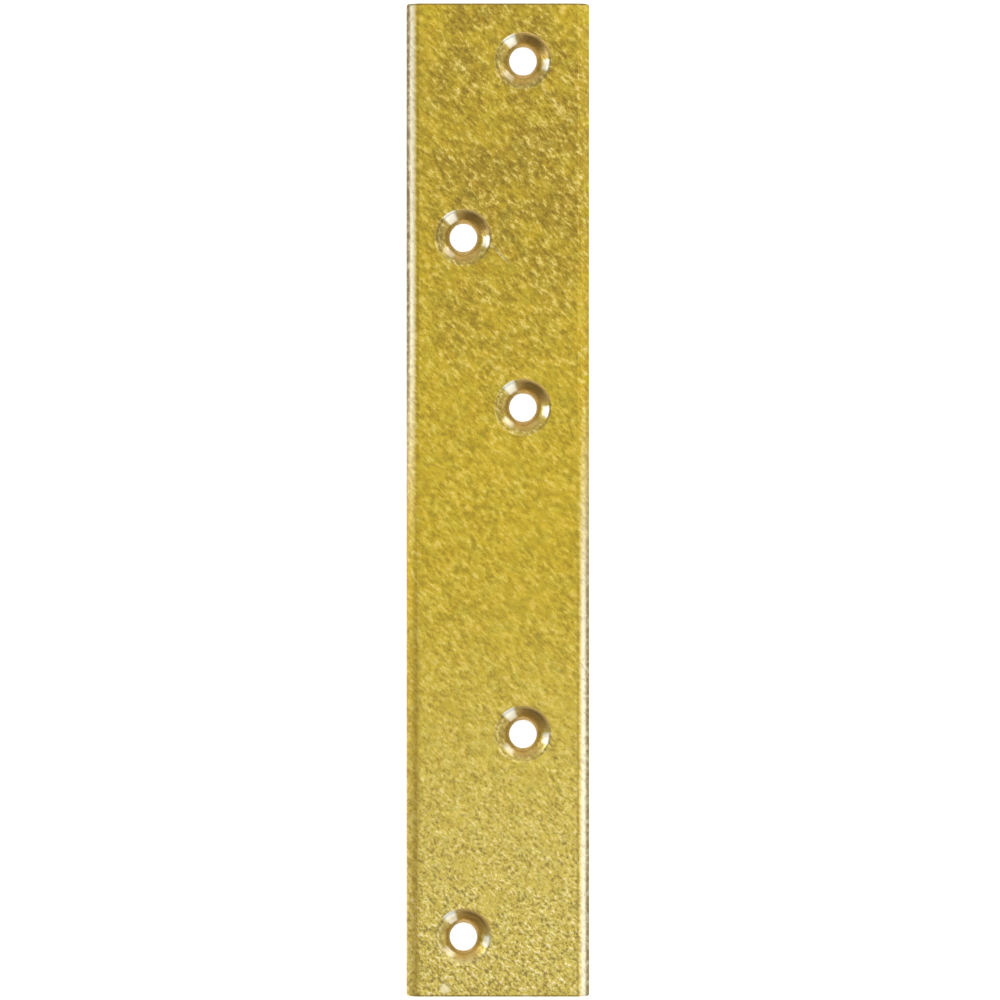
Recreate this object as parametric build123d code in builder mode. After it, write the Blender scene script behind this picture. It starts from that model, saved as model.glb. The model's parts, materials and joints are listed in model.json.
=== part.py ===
from build123d import *
import os
from math import cos, isclose, radians, sin

# A flat mending plate: one length of rolled steel strip, sheared square at both ends, with five
# staggered holes countersunk for wood screws. It lies on its back with the countersunk face up.
# Millimetres. X runs across the plate, Y along it and +Z out of the countersunk face. The origin
# is the centre of the back face.

# The strip.
plate_length = 190.0
plate_width = 35.0
plate_thickness = 3.0

# The shoulder that the rolls leave along each long edge, alike on the face and on the back. It
# breaks away from the flat at a crease, bends down in an arc and ends in a narrow upright side.
shoulder_width = 2.1
shoulder_slope = 14.0
side_height = 0.8
crease_round = 0.8
side_round = 0.4

# The edge of each sheared end, which the shear rolls over and tumbling eases all the way round.
end_round = 0.3

# Each hole takes a 5 mm countersunk wood screw. The rim of the countersink is rounded into the
# face, the throat is rounded into the bore, and the bore's exit at the back is deburred.
screw_bore = 5.2
countersink_mouth = 10.0
countersink_angle = 90.0
rim_round = 0.5
throat_round = 0.25
exit_chamfer = 0.1

# The holes stand in two rows, one near each long side, and zigzag between them. The plate bridges
# a joint, so each hole keeps its distance from the end on its own side of that joint.
right_row_from_side = 12.7
left_row_from_side = 10.9
upper_right_hole_from_end = 11.0
upper_left_hole_from_end = 44.8
inner_right_hole_from_end = 77.3
lower_right_hole_from_end = 50.2
lower_left_hole_from_end = 11.4

half_length = plate_length / 2
half_width = plate_width / 2
half_thickness = plate_thickness / 2

right_row = half_width - right_row_from_side
left_row = left_row_from_side - half_width
screw_places = [
    (right_row, half_length - upper_right_hole_from_end),
    (left_row, half_length - upper_left_hole_from_end),
    (right_row, half_length - inner_right_hole_from_end),
    (right_row, lower_right_hole_from_end - half_length),
    (left_row, lower_left_hole_from_end - half_length),
]

# The section stands across the plate and is drawn about the middle of its thickness.
section_plane = Plane(origin=(0, 0, half_thickness), x_dir=(1, 0, 0), z_dir=(0, -1, 0))
crease = half_width - shoulder_width
side_top = side_height / 2
slope = radians(shoulder_slope)

with BuildPart() as mending_plate:
    with BuildSketch(section_plane) as section:
        with BuildLine():
            shoulder = TangentArc(
                (crease, half_thickness), (half_width, side_top), tangent=(cos(slope), -sin(slope))
            )
            Line((half_width, side_top), (half_width, -side_top))
            mirror(shoulder, about=Plane.XZ)
            mirror(about=Plane.YZ)
            Line((-crease, half_thickness), (crease, half_thickness))
            Line((-crease, -half_thickness), (crease, -half_thickness))
        make_face()
        side_corners = section.vertices().filter_by(lambda corner: isclose(abs(corner.X), half_width))
        fillet(side_corners, radius=side_round)
        crease_corners = section.vertices().filter_by(lambda corner: isclose(abs(corner.X), crease))
        fillet(crease_corners, radius=crease_round)
    extrude(amount=half_length, both=True)

    # The outline has no sharp corner left, so one fillet runs all the way round each end.
    ends = mending_plate.faces().filter_by(Axis.Y)
    fillet(ends.edges(), radius=end_round)

    with Locations([(x, y, plate_thickness) for x, y in screw_places]):
        CounterSinkHole(
            radius=screw_bore / 2,
            counter_sink_radius=countersink_mouth / 2,
            counter_sink_angle=countersink_angle,
        )

    # The holes' rings lie at three heights: exits at the back, throats between and rims at the
    # face. A cone that runs right through the plate leaves no throat. The throat's round and the
    # exit's chamfer share the wall between them.
    rings = mending_plate.edges().filter_by(lambda edge: edge.is_closed).group_by(Axis.Z)
    exits = rings[0]
    rims = rings[-1]
    exit_wall = rings[1][0].center().Z
    fillet(rims, radius=rim_round)
    for throats in rings[1:-1]:
        fillet(throats, radius=min(throat_round, exit_wall))
    chamfer(exits, length=min(exit_chamfer, exit_wall / 2))

mending_plate.part.label = "mending_plate"

os.makedirs("parts", exist_ok=True)
export_step(mending_plate.part, "parts/mending_plate.step")
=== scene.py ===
import json
import random
from math import cos, pi, radians, sin, tan

import bmesh
import bpy
from mathutils import Matrix, Vector, noise


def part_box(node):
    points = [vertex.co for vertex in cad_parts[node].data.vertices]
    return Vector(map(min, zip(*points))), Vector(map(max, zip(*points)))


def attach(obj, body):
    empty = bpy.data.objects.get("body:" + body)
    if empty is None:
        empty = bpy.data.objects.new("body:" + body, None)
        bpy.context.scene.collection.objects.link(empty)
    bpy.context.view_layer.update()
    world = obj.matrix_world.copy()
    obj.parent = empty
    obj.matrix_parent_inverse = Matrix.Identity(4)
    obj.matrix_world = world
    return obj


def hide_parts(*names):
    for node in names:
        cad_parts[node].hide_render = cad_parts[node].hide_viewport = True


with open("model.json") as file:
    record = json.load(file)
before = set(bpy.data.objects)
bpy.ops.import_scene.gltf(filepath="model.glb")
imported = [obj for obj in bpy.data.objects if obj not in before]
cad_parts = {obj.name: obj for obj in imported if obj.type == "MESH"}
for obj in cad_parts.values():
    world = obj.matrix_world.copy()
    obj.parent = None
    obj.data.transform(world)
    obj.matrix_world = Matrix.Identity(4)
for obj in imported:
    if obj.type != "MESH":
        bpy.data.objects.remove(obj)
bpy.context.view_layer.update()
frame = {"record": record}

# =============================================================================================
# The plate
# One length of rolled steel strip, sheared square at both ends, with five staggered holes
# countersunk for wood screws. It was tumbled, which left the fine pebbled grain, and then zinc
# plated and passivated yellow all over. It is made in millimetres here and scaled once.
# =============================================================================================
MM = 0.001
half_width, half_length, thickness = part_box("mending_plate")[1] / MM

# The shoulder along each long edge: (radius, tilt where it starts, tilt where it ends), from the
# crease in the flat, down the rolled shoulder and round into the narrow upright side.
shoulder_bends = [(0.8, 0.0, 15.3), (5.024, 15.3, 39.05), (0.4, 39.05, 90.0)]
bend_cells = [2, 5, 2]
side_cells = 6

# The sheared ends: the round of their edges, the worn round of the four corners seen from above,
# and one more row of the mesh inside that round.
end_round = 0.3
end_cells = 3
corner_round = 0.55
corner_row = 0.42

# Each hole: the rolled-over rim, the cone for the screw's head, the throat and the bore's wall.
# The cone steepens from the rim's tilt to the throat's over its last part.
bore = frame["record"]["mounts"][0]["dims"]["r_mm"]
countersink_mouth = 5.0
rim_round = 1.3
rim_tilt = radians(41.5)
rim_cells = 5
throat_tilt = radians(53.5)
throat_round = 0.25
throat_cells = 2
cone_cells = 10
cone_steepens = 0.6
exit_chamfer = 0.1
holes = [Vector(mount["pos_m"]) / MM for mount in frame["record"]["mounts"] if mount["kind"] == "bore"]

# The mesh is a grid of this pitch. A square block of it round each hole turns into rings, in this
# many steps on the face and on the back.
pitch = 0.44
block = 6.3
face_steps = 5
back_steps = 9


def stations(stops, pitch):
    """Positions about one pitch apart that pass through every stop."""
    stops = sorted({round(stop, 6) for stop in stops})
    places = [stops[0]]
    for start, stop in zip(stops, stops[1:]):
        cells = max(1, round((stop - start) / pitch))
        places += [start + (stop - start) * (i + 1) / cells for i in range(cells)]
    return places


def bend(x, z, radius, tilt_from, tilt_to, cells):
    """Points along an arc that turns away from the flat, after (x, z), each with its tilt."""
    start, end = radians(tilt_from), radians(tilt_to)
    for i in range(1, cells + 1):
        tilt = start + (end - start) * i / cells
        yield x + radius * (sin(tilt) - sin(start)), z + radius * (cos(tilt) - cos(start)), tilt


# The upper half of the strip's section, from the left side to the right one: (x, z, normal).
shoulder = [(0.0, thickness, 0.0)]
for (radius, tilt_from, tilt_to), cells in zip(shoulder_bends, bend_cells):
    shoulder += list(bend(*shoulder[-1][:2], radius, tilt_from, tilt_to, cells))
flat_edge = half_width - shoulder[-1][0]

columns = stations([-flat_edge, flat_edge] + [h.x + s * block for h in holes for s in (-1, 1)], pitch)
upper = [(-flat_edge - dx, z, -sin(tilt), cos(tilt)) for dx, z, tilt in reversed(shoulder[1:])]
upper += [(x, thickness, 0.0, 1.0) for x in columns]
upper += [(flat_edge + dx, z, sin(tilt), cos(tilt)) for dx, z, tilt in shoulder[1:]]

# The whole section, once round: face, right side, back, left side.
side_top, side_bottom = upper[-1][1], thickness - upper[-1][1]
side_heights = [side_top + (side_bottom - side_top) * i / side_cells for i in range(1, side_cells)]
section = list(upper)
section += [(half_width, z, 1.0, 0.0) for z in side_heights]
section += [(x, thickness - z, nx, -nz) for x, z, nx, nz in reversed(upper)]
section += [(-half_width, z, -1.0, 0.0) for z in reversed(side_heights)]
across = len(upper)
around = len(section)

# The section is swept along the strip. At each end its last rows close in, round the end's edge.
row_stops = [h.y + s * block for h in holes for s in (-1, 1)]
row_stops += [s * (half_length - e) for e in (end_round, corner_row, corner_round) for s in (-1, 1)]
rows = stations(row_stops, pitch)
sweep = [(y, 0.0) for y in rows]
for i in range(1, end_cells + 1):
    turn = radians(90.0 * i / end_cells)
    out, inset = end_round * sin(turn), end_round * (1.0 - cos(turn))
    sweep.insert(0, (rows[0] - out, inset))
    sweep.append((rows[-1] + out, inset))


def narrowed(y):
    """How much narrower than the strip the plate is here, where the four corners are worn round."""
    into_corner = max(0.0, corner_round - (half_length - abs(y)))
    return (half_width - corner_round + (corner_round ** 2 - into_corner ** 2) ** 0.5) / half_width


points = []
for y, inset in sweep:
    points += [((x - nx * inset) * narrowed(y), y, z - nz * inset) for x, z, nx, nz in section]

# Each face is kept with the part of the plate that it is on.
faces = []
parts = []
FLAT, SHOULDER, CUT, SHEARED = range(4)


def on_face(row, column):
    return row * around + column


def on_back(row, column):
    return row * around + across + side_cells - 1 + (across - 1 - column)


def add_faces(quads, part):
    faces.extend(quads)
    parts.extend([part] * len(quads))


def inside_block(row, column):
    """Whether this cell of the grid is given up to a hole."""
    x = (upper[column][0] + upper[column + 1][0]) / 2
    y = (sweep[row][0] + sweep[row + 1][0]) / 2
    return any(abs(x - h.x) < block and abs(y - h.y) < block for h in holes)


edge_cells = sum(bend_cells)
for row in range(len(sweep) - 1):
    this_row, next_row = row * around, (row + 1) * around
    for k in range(around):
        following = (k + 1) % around
        quad = (this_row + k, next_row + k, next_row + following, this_row + following)
        column = k if k < across - 1 else 2 * across + side_cells - 3 - k
        flat = edge_cells <= column < across - 1 - edge_cells and k != across - 1
        if flat and inside_block(row, column):
            continue
        add_faces([quad], FLAT if flat else SHOULDER)

# The sheared ends, closed by a grid from the face down to the back.
for row in (0, len(sweep) - 1):
    this_row = row * around
    grid = []
    for column in range(across):
        top, bottom = on_face(row, column), on_back(row, column)
        if column == 0:
            between = list(range(this_row + around - 1, this_row + around - side_cells, -1))
        elif column == across - 1:
            between = list(range(this_row + across, this_row + across + side_cells - 1))
        else:
            between = []
            for i in range(1, side_cells):
                between.append(len(points))
                points.append(tuple(Vector(points[top]).lerp(Vector(points[bottom]), i / side_cells)))
        grid.append([top] + between + [bottom])
    for here, beside in zip(grid, grid[1:]):
        for i in range(side_cells):
            add_faces([(here[i], here[i + 1], beside[i + 1], beside[i])], SHEARED)

# The wall of a hole, from the face to the back: (radius, height). The rim rolls over softly, and
# the cone bulges a little, from a lower tilt at the rim to a steeper one at the throat.
rim_start = countersink_mouth + rim_round * tan(rim_tilt / 2)
hole_wall = [(rim_start, thickness)]
for i in range(1, rim_cells + 1):
    turn = rim_tilt * i / rim_cells
    hole_wall.append((rim_start - rim_round * sin(turn), thickness - rim_round * (1 - cos(turn))))
throat = bore + throat_round * (1 - sin(throat_tilt))
cone_step = (hole_wall[-1][0] - throat) / cone_cells
for i in range(cone_cells):
    radius, height = hole_wall[-1]
    deep = max(0.0, (i + 0.5) / cone_cells - cone_steepens) / (1.0 - cone_steepens)
    tilt = rim_tilt + (throat_tilt - rim_tilt) * deep
    hole_wall.append((radius - cone_step, height - cone_step * tan(tilt)))
lip_radius, lip_height = hole_wall[-1]
for i in range(1, throat_cells + 1):
    turn = throat_tilt + (pi / 2 - throat_tilt) * i / throat_cells
    hole_wall.append((lip_radius - throat_round * (sin(turn) - sin(throat_tilt)),
                      lip_height - throat_round * (cos(throat_tilt) - cos(turn))))
hole_wall.append((bore, exit_chamfer))
hole_wall.append((bore + exit_chamfer, 0.0))

for h in holes:
    row_span = [i for i, (y, inset) in enumerate(sweep) if abs(y - h.y) <= block + 1e-6]
    column_span = [i for i, point in enumerate(upper) if abs(point[0] - h.x) <= block + 1e-6]
    first_row, last_row = row_span[0], row_span[-1]
    first_column, last_column = column_span[0], column_span[-1]
    rim = [(first_row, column) for column in range(first_column, last_column)]
    rim += [(row, last_column) for row in range(first_row, last_row)]
    rim += [(last_row, column) for column in range(last_column, first_column, -1)]
    rim += [(row, first_column) for row in range(last_row, first_row, -1)]
    turns = [radians(-135.0 + 360.0 * i / len(rim)) for i in range(len(rim))]
    loops = [([on_face(*cell) for cell in rim], FLAT)]

    def add_ring(part, radius, height, share):
        """A ring of points round this hole: the block's square outline at share 0, a circle at 1."""
        loops.append((list(range(len(points), len(points) + len(rim))), part))
        for (row, column), turn in zip(rim, turns):
            square = Vector((upper[column][0], sweep[row][0], height))
            circle = Vector((h.x + radius * cos(turn), h.y + radius * sin(turn), height))
            points.append(tuple(square.lerp(circle, share)))

    for i in range(1, face_steps):
        add_ring(FLAT, rim_start, thickness, i / face_steps)
    for radius, height in hole_wall:
        add_ring(CUT if radius < rim_start else FLAT, radius, height, 1.0)
    for i in range(1, back_steps):
        add_ring(FLAT, bore + exit_chamfer, 0.0, 1.0 - i / back_steps)
    loops.append(([on_back(*cell) for cell in rim], FLAT))

    for (above, _), (below, part) in zip(loops, loops[1:]):
        n = len(rim)
        add_faces([(above[i], above[(i + 1) % n], below[(i + 1) % n], below[i]) for i in range(n)], part)

plate_mesh = bpy.data.meshes.new("mending_plate_steel")
plate_mesh.from_pydata(points, [], faces)
plate_mesh.polygons.foreach_set("material_index", parts)
shape = bmesh.new()
shape.from_mesh(plate_mesh)
bmesh.ops.delete(shape, geom=[v for v in shape.verts if not v.link_faces], context="VERTS")
bmesh.ops.recalc_face_normals(shape, faces=shape.faces)
shape.to_mesh(plate_mesh)
shape.free()
plate = bpy.data.objects.new("mending_plate_body", plate_mesh)
bpy.context.scene.collection.objects.link(plate)

# The surface itself: long waves left by the rolls, pebbles left by the tumbling, the chance dents
# of a part that is handled in bulk, and the torn lower part of each sheared end. All of it goes
# inwards, so the plate keeps its size.
wave_length = 16.0
wave_depth = 0.022
pebble_size = 1.25
pebble_depth = 0.022

dents = random.Random(7)
dent_count = 46
dent_band = (15.6, 17.3)
dent_run = (-94, 94)
dent_heights = (0.2, 2.6, 2.6)
dent_radius = (0.45, 1.0)
dent_depth = (0.02, 0.06)
edge_dents = []
for i in range(dent_count):
    side = dents.choice((-1, 1))
    x, y, z = side * dents.uniform(*dent_band), dents.uniform(*dent_run), dents.choice(dent_heights)
    edge_dents.append((Vector((x, y, z)), dents.uniform(*dent_radius), dents.uniform(*dent_depth)))

shear_line = 1.9
shear_wander = 0.35
shear_fade = 0.35
shear_tear = 0.07


def torn_depth(place):
    """How deep the steel of a sheared end is torn, below the line where the shear let go of it."""
    line = shear_line + shear_wander * noise.noise(Vector((place.x / 4.0, place.y, 2.0)))
    torn = min(1.0, max(0.0, (line - place.z) / shear_fade))
    ragged = 0.5 + 0.5 * noise.noise(Vector((place.x / 0.7, place.y, place.z / 1.1)))
    return torn * shear_tear * (0.4 + ragged)


def depth_at(place, normal):
    """How far the finished surface lies under the nominal one, in millimetres."""
    wave = 0.5 + 0.5 * noise.noise(place / wave_length)
    pebble = 0.5 + 0.5 * noise.noise(place / pebble_size + Vector((7.0, 3.0, 1.0)))
    depth = wave_depth * wave + pebble_depth * pebble
    if abs(normal.y) > 0.7:
        depth += torn_depth(place)
    for centre, radius, deep in edge_dents:
        if abs(place.y - centre.y) < radius:
            away = (place - centre).length / radius
            if away < 1.0:
                depth += deep * (1.0 - away * away) ** 2
    return depth


plate_mesh.update()
for vertex, normal in zip(plate_mesh.vertices, [v.normal.copy() for v in plate_mesh.vertices]):
    vertex.co -= normal * depth_at(vertex.co, normal)
plate_mesh.transform(Matrix.Scale(MM, 4))
for polygon in plate_mesh.polygons:
    polygon.use_smooth = True


def add_node(tree, kind, inputs=None, **settings):
    """Adds a node to a tree. Each input is a plain value or the output that feeds it."""
    made = tree.nodes.new("ShaderNode" + kind)
    for name, value in settings.items():
        setattr(made, name, value)
    for name, value in (inputs or {}).items():
        if isinstance(value, bpy.types.NodeSocket):
            tree.links.new(value, made.inputs[name])
        else:
            made.inputs[name].default_value = value
    return made


def new_effect(name, inputs, outputs):
    """Starts a shader node group. Returns its tree, its inputs node and its outputs node."""
    tree = bpy.data.node_groups.new(name, "ShaderNodeTree")
    for label, (kind, value) in inputs.items():
        socket = tree.interface.new_socket(label, in_out="INPUT", socket_type="NodeSocket" + kind)
        socket.default_value = value
    for label, kind in outputs.items():
        tree.interface.new_socket(label, in_out="OUTPUT", socket_type="NodeSocket" + kind)
    return tree, tree.nodes.new("NodeGroupInput"), tree.nodes.new("NodeGroupOutput")


def feed(tree, receiver, sources):
    """Links each source to the receiver's input of that name."""
    for name, source in sources.items():
        tree.links.new(source, receiver.inputs[name])


def remap(tree, value, low, high, to_low=0.0, to_high=1.0):
    """The value's place between low and high, eased and clamped."""
    made = add_node(tree, "MapRange", {"Value": value, "From Min": low, "From Max": high,
                                       "To Min": to_low, "To Max": to_high},
                    interpolation_type="SMOOTHSTEP")
    return made.outputs["Result"]


def reckon(tree, operation, first, *others):
    """Takes numbers together, two at a time from the left."""
    for other in others:
        first = add_node(tree, "Math", {0: first, 1: other}, operation=operation).outputs[0]
    return first


def product(tree, *numbers):
    return reckon(tree, "MULTIPLY", *numbers)


def total(tree, *numbers):
    return reckon(tree, "ADD", *numbers)


def largest(tree, *numbers):
    return reckon(tree, "MAXIMUM", *numbers)


def unsigned(tree, number):
    return reckon(tree, "ABSOLUTE", number, 0.0)


def without(tree, share):
    """What is left of one when this share is gone."""
    return reckon(tree, "SUBTRACT", 1.0, share)


def vectors(tree, operation, first, second=(0.0, 0.0, 0.0)):
    """Takes two vectors together. It gives a number or a vector, as the operation does."""
    made = add_node(tree, "VectorMath", {0: first, 1: second}, operation=operation)
    gives_number = operation in ("DOT_PRODUCT", "DISTANCE", "LENGTH")
    return made.outputs["Value" if gives_number else "Vector"]


def scaled(tree, vector, scale):
    return add_node(tree, "VectorMath", {0: vector, "Scale": scale}, operation="SCALE").outputs["Vector"]


def blend(tree, share, first, second):
    return add_node(tree, "Mix", {0: share, 6: first, 7: second}, data_type="RGBA").outputs[2]


def stained(tree, color, stain):
    """The color seen through the stain."""
    made = add_node(tree, "Mix", {0: 1.0, 6: color, 7: stain}, data_type="RGBA", blend_type="MULTIPLY")
    return made.outputs[2]


def mottle(tree, place, scale, detail, roughness=0.5):
    """Soft random patches, between 0 and 1."""
    made = add_node(tree, "TexNoise", {"Vector": place, "Scale": scale, "Detail": detail,
                                       "Roughness": roughness})
    return made.outputs["Fac"]


def roughen(tree, steel, height, depth):
    """Gives the steel's surface this relief, as deep as depth in millimetres."""
    bump = add_node(tree, "Bump", {"Height": height, "Distance": depth * MM, "Strength": 1.0})
    feed(tree, steel, {"Normal": bump.outputs["Normal"]})


# Tumbled grain: pebbles stretched a little along one diagonal, as the load slid in the barrel,
# with masks for its high spots and its low spots. The pale and brown flecks laid on them are partly
# the grain's own colour and partly painted glints and painted shade. Sizes are in millimetres.
grain, given, gives = new_effect(
    "tumbled_grain",
    {"Place": ("Vector", (0, 0, 0)), "Pebble": ("Float", 1.0), "Slid": ("Vector", (0.66, 1.2, 1.0))},
    {"Height": "Float", "Peaks": "Float", "Hollows": "Float"})
turned = add_node(grain, "VectorRotate", {"Vector": given.outputs["Place"], "Angle": radians(45.0)},
                  rotation_type="Z_AXIS")
slid = vectors(grain, "MULTIPLY", turned.outputs["Vector"], given.outputs["Slid"])
place = scaled(grain, slid, reckon(grain, "DIVIDE", 1.0, given.outputs["Pebble"]))
swell = mottle(grain, place, scale=0.62, detail=0.6, roughness=0.4)
fleck = mottle(grain, place, scale=1.15, detail=2.0, roughness=0.62)
marked = total(grain, fleck, product(grain, swell, 0.3))
feed(grain, gives, {
    "Height": total(grain, product(grain, swell, 0.7), product(grain, fleck, 0.75)),
    "Peaks": remap(grain, marked, 0.66, 0.86),
    "Hollows": remap(grain, marked, 0.66, 0.45)})

# The yellow film. It is browner towards one end and paler towards the other, drifts between a
# greener and a redder gold, and is calm and even in patches, along one edge and in two corners.
film, given, gives = new_effect(
    "yellow_film",
    {"Place": ("Vector", (0, 0, 0)), "Gold": ("Color", (0.435, 0.313, 0.022, 1)),
     "Brown": ("Color", (0.314, 0.216, 0.021, 1)), "Pale": ("Color", (0.565, 0.445, 0.082, 1))},
    {"Color": "Color", "Upper": "Float", "Lower": "Float", "Calm": "Float"})
greener = (0.97, 1.03, 1.2, 1)
redder = (1.0, 0.955, 1.0, 1)
unchanged = (1, 1, 1, 1)
place = given.outputs["Place"]
spot = add_node(film, "SeparateXYZ", {0: place})
upper_end = remap(film, spot.outputs["Y"], 0.0, 65.0)
lower_end = remap(film, spot.outputs["Y"], -5.0, -94.0)
edge_strip = remap(film, spot.outputs["X"], -10.0, -14.5)
corners = product(film, remap(film, spot.outputs["Y"], 87.5, 92.5),
                  remap(film, unsigned(film, spot.outputs["X"]), 7.5, 12.5))
broad = mottle(film, place, scale=0.14, detail=2.5)
close = mottle(film, place, scale=0.35, detail=2.0)
browned = product(film, upper_end, remap(film, broad, 0.62, 0.42, 0.45, 1.0),
                  without(film, product(film, edge_strip, 0.5)),
                  without(film, product(film, corners, 0.8)))
color = blend(film, browned, given.outputs["Gold"], given.outputs["Brown"])
color = blend(film, lower_end, color, given.outputs["Pale"])
tint = blend(film, remap(film, close, 0.36, 0.50), greener, unchanged)
tint = blend(film, remap(film, close, 0.54, 0.72), tint, redder)
calm = largest(film, product(film, upper_end, edge_strip, 0.9), remap(film, broad, 0.50, 0.64), corners)
feed(film, gives, {
    "Color": stained(film, color, tint),
    "Upper": upper_end,
    "Lower": lower_end,
    "Calm": calm})

# Painted light and shade on the shoulders. A pale painted sheen lies on the left of the upper half
# and the right of the lower half. There the crease beside the flat gets a painted dark line, and the
# outer edge of the side a stronger one than elsewhere; the ends get one too. Painted shade lies
# along the crease on the left of the lower half.
painted_edges, given, gives = new_effect(
    "painted_edge_light_and_shade",
    {"Place": ("Vector", (0, 0, 0))},
    {"PaintedSheen": "Float", "CreaseShade": "Float", "EdgeShade": "Float", "LowerLeftShade": "Float"})
spot = add_node(painted_edges, "SeparateXYZ", {0: given.outputs["Place"]})
along = spot.outputs["Y"]
aside = unsigned(painted_edges, spot.outputs["X"])
on_left = remap(painted_edges, spot.outputs["X"], 1.0, -1.0)
on_right = remap(painted_edges, spot.outputs["X"], -1.0, 1.0)
painted_sheen = total(painted_edges, product(painted_edges, on_left, remap(painted_edges, along, -15.0, 42.0)),
            product(painted_edges, on_right, remap(painted_edges, along, 25.0, -30.0)))
broken = remap(painted_edges, mottle(painted_edges, given.outputs["Place"], scale=1.1, detail=2.0, roughness=0.6),
               0.3, 0.62, 0.6, 1.15)
crease_shade = product(painted_edges, remap(painted_edges, aside, flat_edge - 0.45, flat_edge - 0.1),
                 remap(painted_edges, aside, flat_edge + 0.35, flat_edge + 0.05), painted_sheen, 0.35, broken)
lower_left_shade = product(painted_edges, on_left, remap(painted_edges, along, 10.0, -35.0),
                  remap(painted_edges, aside, flat_edge + 2.0, flat_edge + 0.3),
                  remap(painted_edges, aside, flat_edge - 0.8, flat_edge - 0.1), 0.35)
from_middle = unsigned(painted_edges, reckon(painted_edges, "SUBTRACT", spot.outputs["Z"], thickness / 2))
side_edge_shade = product(painted_edges, remap(painted_edges, from_middle, 1.12, 0.66),
                    total(painted_edges, 0.15, product(painted_edges, painted_sheen, 0.6)))
top_end_shade = product(painted_edges, remap(painted_edges, along, half_length - 0.55, half_length - 0.2), 0.7)
bottom_end_shade = product(painted_edges, remap(painted_edges, along, 0.3 - half_length, 0.1 - half_length), 0.4)
feed(painted_edges, gives, {
    "PaintedSheen": product(painted_edges, painted_sheen, remap(painted_edges, aside, flat_edge + 0.2, flat_edge + 0.9)),
    "CreaseShade": crease_shade,
    "EdgeShade": product(painted_edges, largest(painted_edges, side_edge_shade, top_end_shade, bottom_end_shade), broken),
    "LowerLeftShade": lower_left_shade})

# How far a place is from the axis of its nearest hole, the sides of the hole that get painted shade,
# and the places round its mouth that get painted highlights, at the same bearings in every hole.
near_hole, given, gives = new_effect(
    "near_hole",
    {"Place": ("Vector", (0, 0, 0))},
    {"Distance": "Float", "PaintedShade": "Float", "Bright": "Float"})
level_place = vectors(near_hole, "MULTIPLY", given.outputs["Place"], (1.0, 1.0, 0.0))
nearest = outward = None
for h in holes:
    arm = vectors(near_hole, "SUBTRACT", level_place, (h.x, h.y, 0.0))
    away = vectors(near_hole, "LENGTH", arm)
    if nearest is None:
        nearest, outward = away, arm
        continue
    closer = reckon(near_hole, "LESS_THAN", away, nearest)
    outward = add_node(near_hole, "Mix", {0: closer, 4: outward, 5: arm}, data_type="VECTOR").outputs[1]
    nearest = reckon(near_hole, "MINIMUM", nearest, away)
outward = vectors(near_hole, "NORMALIZE", outward)


def towards(bearing, start, full):
    """One where a place lies on this bearing from its hole, falling off to either side."""
    way = (cos(radians(bearing)), sin(radians(bearing)), 0.0)
    return remap(near_hole, vectors(near_hole, "DOT_PRODUCT", outward, way), start, full)


def painted_highlight_patch(bearing, start, full, inside, outside, share):
    """A place on the countersink's wall, between two distances from its axis, given a painted highlight.
    """
    fade = 0.5
    return product(near_hole, towards(bearing, start, full),
                   remap(near_hole, nearest, inside, inside + fade),
                   remap(near_hole, nearest, outside, outside - fade), share)


# Painted shade: a brown crescent on one side of each hole, and a browner patch towards its throat on
# another.
crescent_shade = product(near_hole, towards(bearing=60.0, start=0.55, full=0.86),
                  remap(near_hole, nearest, 6.2, 5.4))
throat_side_shade = product(near_hole, towards(bearing=283.0, start=0.6, full=0.95),
                 remap(near_hole, nearest, 5.2, 3.4, 0.0, 0.7))
feed(near_hole, gives, {
    "Distance": nearest,
    "PaintedShade": largest(near_hole, crescent_shade, throat_side_shade),
    "Bright": largest(
        near_hole,
        painted_highlight_patch(bearing=122.0, start=0.955, full=0.992, inside=3.1, outside=5.8, share=1.0),
        painted_highlight_patch(bearing=350.0, start=0.955, full=0.993, inside=3.6, outside=5.3, share=0.85),
        painted_highlight_patch(bearing=226.0, start=0.93, full=0.99, inside=3.1, outside=4.7, share=0.45))})

# A scratch: a straight scored line between two places, bright where the film is cut through.
scratch, given, gives = new_effect(
    "scratch",
    {"Place": ("Vector", (0, 0, 0)), "From": ("Vector", (0, 0, 0)), "To": ("Vector", (1, 0, 0)),
     "Width": ("Float", 0.2)},
    {"Mask": "Float"})
arm = vectors(scratch, "SUBTRACT", given.outputs["Place"], given.outputs["From"])
run = vectors(scratch, "SUBTRACT", given.outputs["To"], given.outputs["From"])
share = reckon(scratch, "DIVIDE", vectors(scratch, "DOT_PRODUCT", arm, run),
               vectors(scratch, "DOT_PRODUCT", run, run))
reached = scaled(scratch, run, add_node(scratch, "Clamp", {"Value": share}).outputs[0])
off = reckon(scratch, "DIVIDE", vectors(scratch, "DISTANCE", arm, reached), given.outputs["Width"])
feed(scratch, gives, {"Mask": remap(scratch, off, 1.0, 0.3)})


def placed(tree, effect, **inputs):
    """Places an effect in a tree, with its own values or the outputs that feed it."""
    made = tree.nodes.new("ShaderNodeGroup")
    made.node_tree = effect
    for name, value in inputs.items():
        if isinstance(value, bpy.types.NodeSocket):
            tree.links.new(value, made.inputs[name])
        else:
            made.inputs[name].default_value = value
    return made


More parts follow.
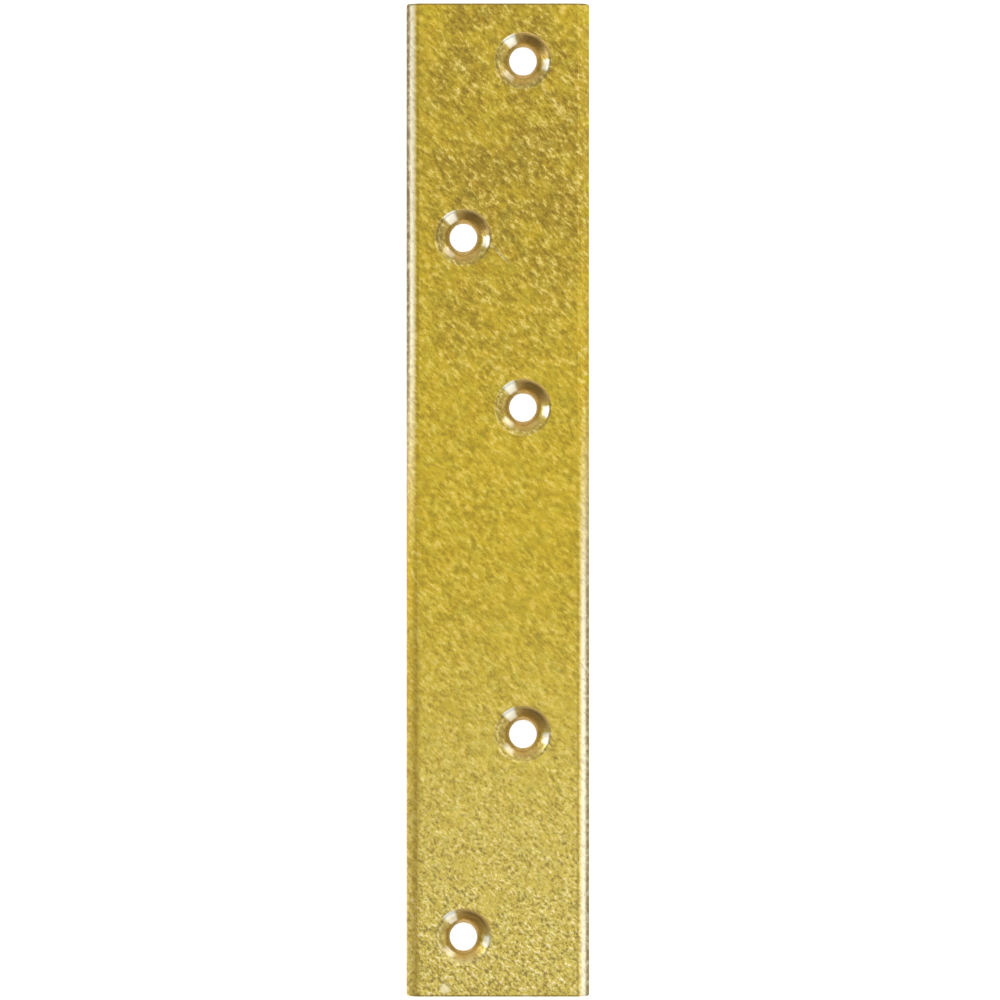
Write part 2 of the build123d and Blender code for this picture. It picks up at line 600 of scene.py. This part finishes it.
# The tumbled finish: grain that is coarse towards the brown end and fine towards the pale one, and
# calmer in between, with a few scratches and pits: (start, end, width, strength).
tumbled, given, gives = new_effect(
    "tumbled_zinc",
    {"Place": ("Vector", (0, 0, 0))},
    {"Color": "Color", "Roughness": "Float", "Height": "Float"})
scratches = [((8.2, 81.3), (8.8, 78.7), 0.45, 0.15), ((8.8, 78.7), (9.8, 76.7), 0.5, 0.15),
             ((10.2, 76.5), (11.6, 75.6), 0.45, 0.15), ((-1.0, 48.5), (1.9, 45.4), 0.4, 0.45),
             ((-10.1, -93.2), (-10.1, -93.5), 1.3, 1.2), ((15.9, 61.7), (16.0, 61.6), 0.5, 1.0)]
scratch_depth = 0.4
coarse_pebble = 0.78
fine_pebble = 0.68
glint = (0.88, 0.80, 0.50, 1)
# Colours of painted shade: on the left of the lower half, along the crease and along the outer edges.
lower_left_shade_color = (0.33, 0.22, 0.03, 1)
crease_shade_color = (0.20, 0.14, 0.03, 1)
edge_shade_color = (0.20, 0.14, 0.04, 1)
scored_steel = (0.82, 0.71, 0.40, 1)
place = given.outputs["Place"]
tone = placed(tumbled, film, Place=place)
edges = placed(tumbled, painted_edges, Place=place)
coarse = placed(tumbled, grain, Place=place, Pebble=coarse_pebble)
fine = placed(tumbled, grain, Place=place, Pebble=fine_pebble, Slid=(0.85, 1.1, 1.0))
upper_end, lower_end = tone.outputs["Upper"], tone.outputs["Lower"]


def graded(name):
    """One of the grain's outputs, coarse in the upper part of the plate and fine in the lower."""
    made = add_node(tumbled, "Mix", {0: lower_end, 2: coarse.outputs[name], 3: fine.outputs[name]},
                    data_type="FLOAT")
    return made.outputs[0]


# The pale flecks on the high spots and the brown ones in the low spots are partly the grain's own colour
# and partly painted glints and painted shade. The glint colour puts painted glints on the highest spots.
pale_fleck_and_glint = blend(tumbled, lower_end, (0.62, 0.50, 0.15, 1), (0.71, 0.60, 0.31, 1))
brown_fleck_and_shade = blend(tumbled, lower_end, (0.19, 0.12, 0.018, 1), (0.30, 0.22, 0.065, 1))
marked = total(tumbled, 0.38, product(tumbled, upper_end, 0.27), lower_end)
marked = product(tumbled, marked, remap(tumbled, tone.outputs["Calm"], 0.0, 1.0, 1.0, 0.6))
glinting = product(tumbled, remap(tumbled, graded("Peaks"), 0.85, 1.0), marked, 0.1)
color = blend(tumbled, product(tumbled, graded("Hollows"), marked), tone.outputs["Color"], brown_fleck_and_shade)
color = blend(tumbled, product(tumbled, graded("Peaks"), marked, 0.85), color, pale_fleck_and_glint)
color = blend(tumbled, glinting, color, glint)
# Painted shade on the left of the lower half, along the crease and along the outer edges.
color = blend(tumbled, edges.outputs["LowerLeftShade"], color, lower_left_shade_color)
color = blend(tumbled, edges.outputs["CreaseShade"], color, crease_shade_color)
color = blend(tumbled, edges.outputs["EdgeShade"], color, edge_shade_color)

scored = None
for start, end, width, strength in scratches:
    mark = placed(tumbled, scratch, Place=place, Width=width,
                  From=(*start, thickness), To=(*end, thickness))
    shown = product(tumbled, mark.outputs["Mask"], strength)
    scored = shown if scored is None else largest(tumbled, scored, shown)
skipped = remap(tumbled, coarse.outputs["Height"], 0.62, 0.8, 0.15, 0.8)
color = blend(tumbled, product(tumbled, scored, skipped), color, scored_steel)

height = reckon(tumbled, "SUBTRACT", graded("Height"), product(tumbled, scored, scratch_depth))
rise = total(tumbled, 0.35, product(tumbled, upper_end, 0.5), product(tumbled, lower_end, 0.25))
feed(tumbled, gives, {
    "Color": color,
    "Roughness": remap(tumbled, height, 0.5, 0.95, 0.38, 0.27),
    "Height": product(tumbled, height, rise)})


def zinc_material(name, roughness, coat, coat_roughness):
    """A new material, its tree, its Principled BSDF and the place on the plate in millimetres."""
    material = bpy.data.materials.new(name)
    material.use_nodes = True
    tree = material.node_tree
    steel = tree.nodes["Principled BSDF"]
    steel.inputs["Metallic"].default_value = 1.0
    steel.inputs["Roughness"].default_value = roughness
    steel.inputs["Coat Weight"].default_value = coat
    steel.inputs["Coat Roughness"].default_value = coat_roughness
    coords = tree.nodes.new("ShaderNodeTexCoord")
    return material, tree, steel, scaled(tree, coords.outputs["Object"], 1.0 / MM)


# The flats carry the tumbled finish as it is.
flats, tree, steel, place = zinc_material(
    "yellow_zinc_tumbled", roughness=0.3, coat=0.15, coat_roughness=0.22)
finish = placed(tree, tumbled, Place=place)
feed(tree, steel, {"Base Color": finish.outputs["Color"], "Roughness": finish.outputs["Roughness"]})
roughen(tree, steel, finish.outputs["Height"], 0.095)

# The shoulders: the same finish, lightened all over as painted light, with a pale painted sheen in
# places.
rolled, tree, steel, place = zinc_material(
    "yellow_zinc_rolled", roughness=0.42, coat=0.6, coat_roughness=0.2)
shoulder_painted_light = (1.48, 1.45, 1.45, 1)
thin_film = (0.74, 0.56, 0.07, 1)
bright_grain_and_glint = (0.86, 0.74, 0.25, 1)
dull_grain_and_shade = (0.34, 0.24, 0.05, 1)
painted_sheen_pale = (0.83, 0.79, 0.61, 1)
painted_sheen_dull = (0.64, 0.61, 0.48, 1)
finish = placed(tree, tumbled, Place=place)
edges = placed(tree, painted_edges, Place=place)
pebbled = placed(tree, grain, Place=place, Pebble=coarse_pebble)
tone = placed(tree, film, Place=place)
# Painted light on the shoulders: the finish is lightened all over, and the grain's high spots get
# painted glints and its low spots painted shade over its own colour. Part of each shoulder gets a pale
# painted sheen, duller towards the upper end.
painted_sheen_color = blend(tree, tone.outputs["Upper"], painted_sheen_pale, painted_sheen_dull)
color = stained(tree, finish.outputs["Color"], shoulder_painted_light)
color = blend(tree, product(tree, tone.outputs["Upper"], 0.15), color, thin_film)
color = blend(tree, product(tree, pebbled.outputs["Peaks"], 0.45), color, bright_grain_and_glint)
color = blend(tree, edges.outputs["LowerLeftShade"], color, lower_left_shade_color)
color = blend(tree, product(tree, edges.outputs["PaintedSheen"], 0.8), color, painted_sheen_color)
color = blend(tree, product(tree, pebbled.outputs["Hollows"], 0.32), color, dull_grain_and_shade)
color = blend(tree, edges.outputs["CreaseShade"], color, crease_shade_color)
color = blend(tree, edges.outputs["EdgeShade"], color, edge_shade_color)
sheen = total(tree, 0.12, product(tree, edges.outputs["PaintedSheen"], 0.48))
feed(tree, steel, {
    "Base Color": color,
    "Roughness": remap(tree, edges.outputs["EdgeShade"], 0.1, 0.8, 0.42, 0.62),
    "Coat Weight": product(tree, sheen, remap(tree, edges.outputs["EdgeShade"], 0.1, 0.8, 1.0, 0.0))})
roughen(tree, steel, finish.outputs["Height"], 0.075)

# The countersinks: the tumbled finish runs in over the rim and gives way to a smoother cone with
# faint turning marks, browner towards the throat as painted shade.
cut, tree, steel, place = zinc_material("yellow_zinc_cut", roughness=0.34, coat=0.6, coat_roughness=0.2)
steel.inputs["Coat IOR"].default_value = 1.65
throat_painted_shade = (0.36, 0.235, 0.032, 1)
cone_gold = (0.57, 0.44, 0.065, 1)
rim_hollow_and_shade = (0.22, 0.145, 0.02, 1)
rim_peak_and_glint = (0.84, 0.72, 0.30, 1)
painted_shade_brown = (0.57, 0.375, 0.095, 1)
painted_highlight_color = (0.98, 0.95, 0.80, 1)
finish = placed(tree, tumbled, Place=place)
hole = placed(tree, near_hole, Place=place)
pebbled = placed(tree, grain, Place=place, Pebble=coarse_pebble)
distance = hole.outputs["Distance"]
on_rim = remap(tree, distance, 2.8, 3.6)
# Painted shade darkens the throat. Painted shade in the rim's hollows and painted glints on its peaks
# lie over the grain's own colour. Last come the painted shade on one side of the hole and the painted
# highlights round its mouth.
color = blend(tree, remap(tree, distance, 3.1, 3.9), throat_painted_shade, cone_gold)
color = blend(tree, remap(tree, distance, 3.2, 4.9), color, finish.outputs["Color"])
color = blend(tree, product(tree, pebbled.outputs["Hollows"], on_rim, 0.5), color, rim_hollow_and_shade)
color = blend(tree, product(tree, pebbled.outputs["Peaks"], on_rim, 0.5), color, rim_peak_and_glint)
color = blend(tree, hole.outputs["PaintedShade"], color, painted_shade_brown)
color = blend(tree, hole.outputs["Bright"], color, painted_highlight_color)
feed(tree, steel, {"Base Color": color, "Roughness": remap(tree, on_rim, 0.0, 1.0, 0.40, 0.34)})
rings = add_node(tree, "TexNoise", {"W": distance, "Scale": 5.0, "Detail": 1.0}, noise_dimensions="1D")
marks = add_node(tree, "Mix", {0: on_rim, 2: product(tree, rings.outputs["Fac"], 0.08),
                               3: finish.outputs["Height"]}, data_type="FLOAT")
roughen(tree, steel, marks.outputs[0], 0.095)

# The sheared ends: an even film over coarse, torn steel.
sheared, tree, steel, place = zinc_material(
    "yellow_zinc_sheared", roughness=0.4, coat=0.2, coat_roughness=0.22)
tone = placed(tree, film, Place=place, Gold=(0.50, 0.36, 0.04, 1), Brown=(0.45, 0.32, 0.035, 1),
              Pale=(0.50, 0.38, 0.06, 1))
tear_brown = (0.24, 0.16, 0.03, 1)
torn = mottle(tree, place, scale=1.8, detail=3.0, roughness=0.6)
color = blend(tree, remap(tree, torn, 0.5, 0.32, 0.0, 0.6), tone.outputs["Color"], tear_brown)
feed(tree, steel, {"Base Color": color})
roughen(tree, steel, torn, 0.12)

for material in (flats, rolled, cut, sheared):
    plate_mesh.materials.append(material)

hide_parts("mending_plate")
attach(plate, "root")

# =============================================================================================
# The floor and the studio
# A sheet of white paper on a bench, in a pale room that is darker on one side, with soft lamps
# low on the left and the right and a large one overhead. The camera looks straight down.
# =============================================================================================
bpy.ops.mesh.primitive_plane_add(size=6.0)
floor = bpy.context.object
floor.name = "floor"
paper_gray = (0.8, 0.8, 0.8, 1)
paper_white = 0.62
paper = bpy.data.materials.new("floor_paper")
paper.use_nodes = True
tree = paper.node_tree
tree.nodes.clear()
path = tree.nodes.new("ShaderNodeLightPath")
seen = largest(tree, path.outputs["Is Camera Ray"], path.outputs["Is Glossy Ray"],
               path.outputs["Is Transmission Ray"])
glow = add_node(tree, "Emission", {"Strength": product(tree, seen, paper_white)})
sheet = add_node(tree, "BsdfDiffuse", {"Color": paper_gray})
both = add_node(tree, "AddShader", {0: sheet.outputs[0], 1: glow.outputs[0]})
add_node(tree, "OutputMaterial", {"Surface": both.outputs[0]})
floor.data.materials.append(paper)

world = bpy.data.worlds.new("studio")
bpy.context.scene.world = world
world.use_nodes = True
tree = world.node_tree
coords = tree.nodes.new("ShaderNodeTexCoord")
way = add_node(tree, "SeparateXYZ", {0: coords.outputs["Generated"]})
upward = way.outputs["Z"]


def facing(direction):
    """How nearly a way out of the room's middle points in this direction, 1 where it does."""
    return vectors(tree, "DOT_PRODUCT", coords.outputs["Generated"], direction)


dark_side = facing((-0.5, -0.866, 0.0))
bright_side = facing((0.55, 0.835, 0.0))
front_side = facing((0.64, -0.77, 0.0))
room = total(tree, remap(tree, upward, 0.97, 0.2, 0.52, 0.90),
             remap(tree, unsigned(tree, way.outputs["Y"]), 0.12, 0.6, 0.0, 0.12))
room = product(tree, room, remap(tree, dark_side, 0.45, 0.95, 1.0, 0.06))
front_glow = product(tree, remap(tree, front_side, 0.75, 0.95, 0.0, 0.35), remap(tree, upward, 0.5, 0.3))
high_glow = product(tree, remap(tree, bright_side, 0.1, 0.45, 0.0, 0.45), remap(tree, upward, 0.3, 0.7))
low_glow = product(tree, remap(tree, bright_side, 0.8, 0.97, 0.0, 0.3), remap(tree, upward, 0.45, 0.2))
soft = total(tree, room, front_glow, high_glow, low_glow)
horizon = remap(tree, upward, 0.12, 0.05)
level = add_node(tree, "Mix", {0: horizon, 2: soft, 3: 1.0}, data_type="FLOAT")
feed(tree, tree.nodes["Background"], {"Strength": level.outputs[0]})
tree.nodes["Background"].inputs["Color"].default_value = (1, 1, 1, 1)


def softbox(name, place, aim, width, height, radiance):
    """A soft rectangular lamp of this radiance, aimed at a place."""
    lamp = bpy.data.lights.new(name, "AREA")
    lamp.shape = "RECTANGLE"
    lamp.size = width
    lamp.size_y = height
    lamp.energy = radiance * width * height * pi
    holder = bpy.data.objects.new(name, lamp)
    holder.location = place
    holder.rotation_euler = (Vector(aim) - Vector(place)).to_track_quat("-Z", "Y").to_euler()
    holder.visible_camera = False
    bpy.context.scene.collection.objects.link(holder)


softbox("lamp_left", (-0.25, 0.06, 0.086), (0, 0.05, 0), width=0.11, height=0.045, radiance=4.5)
softbox("lamp_right_back", (0.20, 0.185, 0.055), (0, 0.03, 0), width=0.12, height=0.05, radiance=1.8)
softbox("lamp_left_high", (-0.20, 0.065, 0.14), (0, 0.065, 0), width=0.13, height=0.13, radiance=0.8)
softbox("lamp_right_high", (0.20, -0.065, 0.14), (0, -0.065, 0), width=0.13, height=0.13, radiance=0.8)
softbox("lamp_overhead", (0.20, 0.30, 2.4), (0, 0, 0), width=1.00, height=1.25, radiance=1.43)

# The camera's frame takes in this width at the plate's face.
frame_width = 0.1912
lens = 300
sensor = 36
camera_data = bpy.data.cameras.new("camera")
camera_data.lens = lens
camera_data.sensor_width = sensor
camera = bpy.data.objects.new("camera", camera_data)
camera.location = (0.0004, 0.0, thickness * MM + frame_width * lens / sensor)
bpy.context.scene.collection.objects.link(camera)
bpy.context.scene.camera = camera

bpy.context.scene.view_settings.view_transform = "Standard"
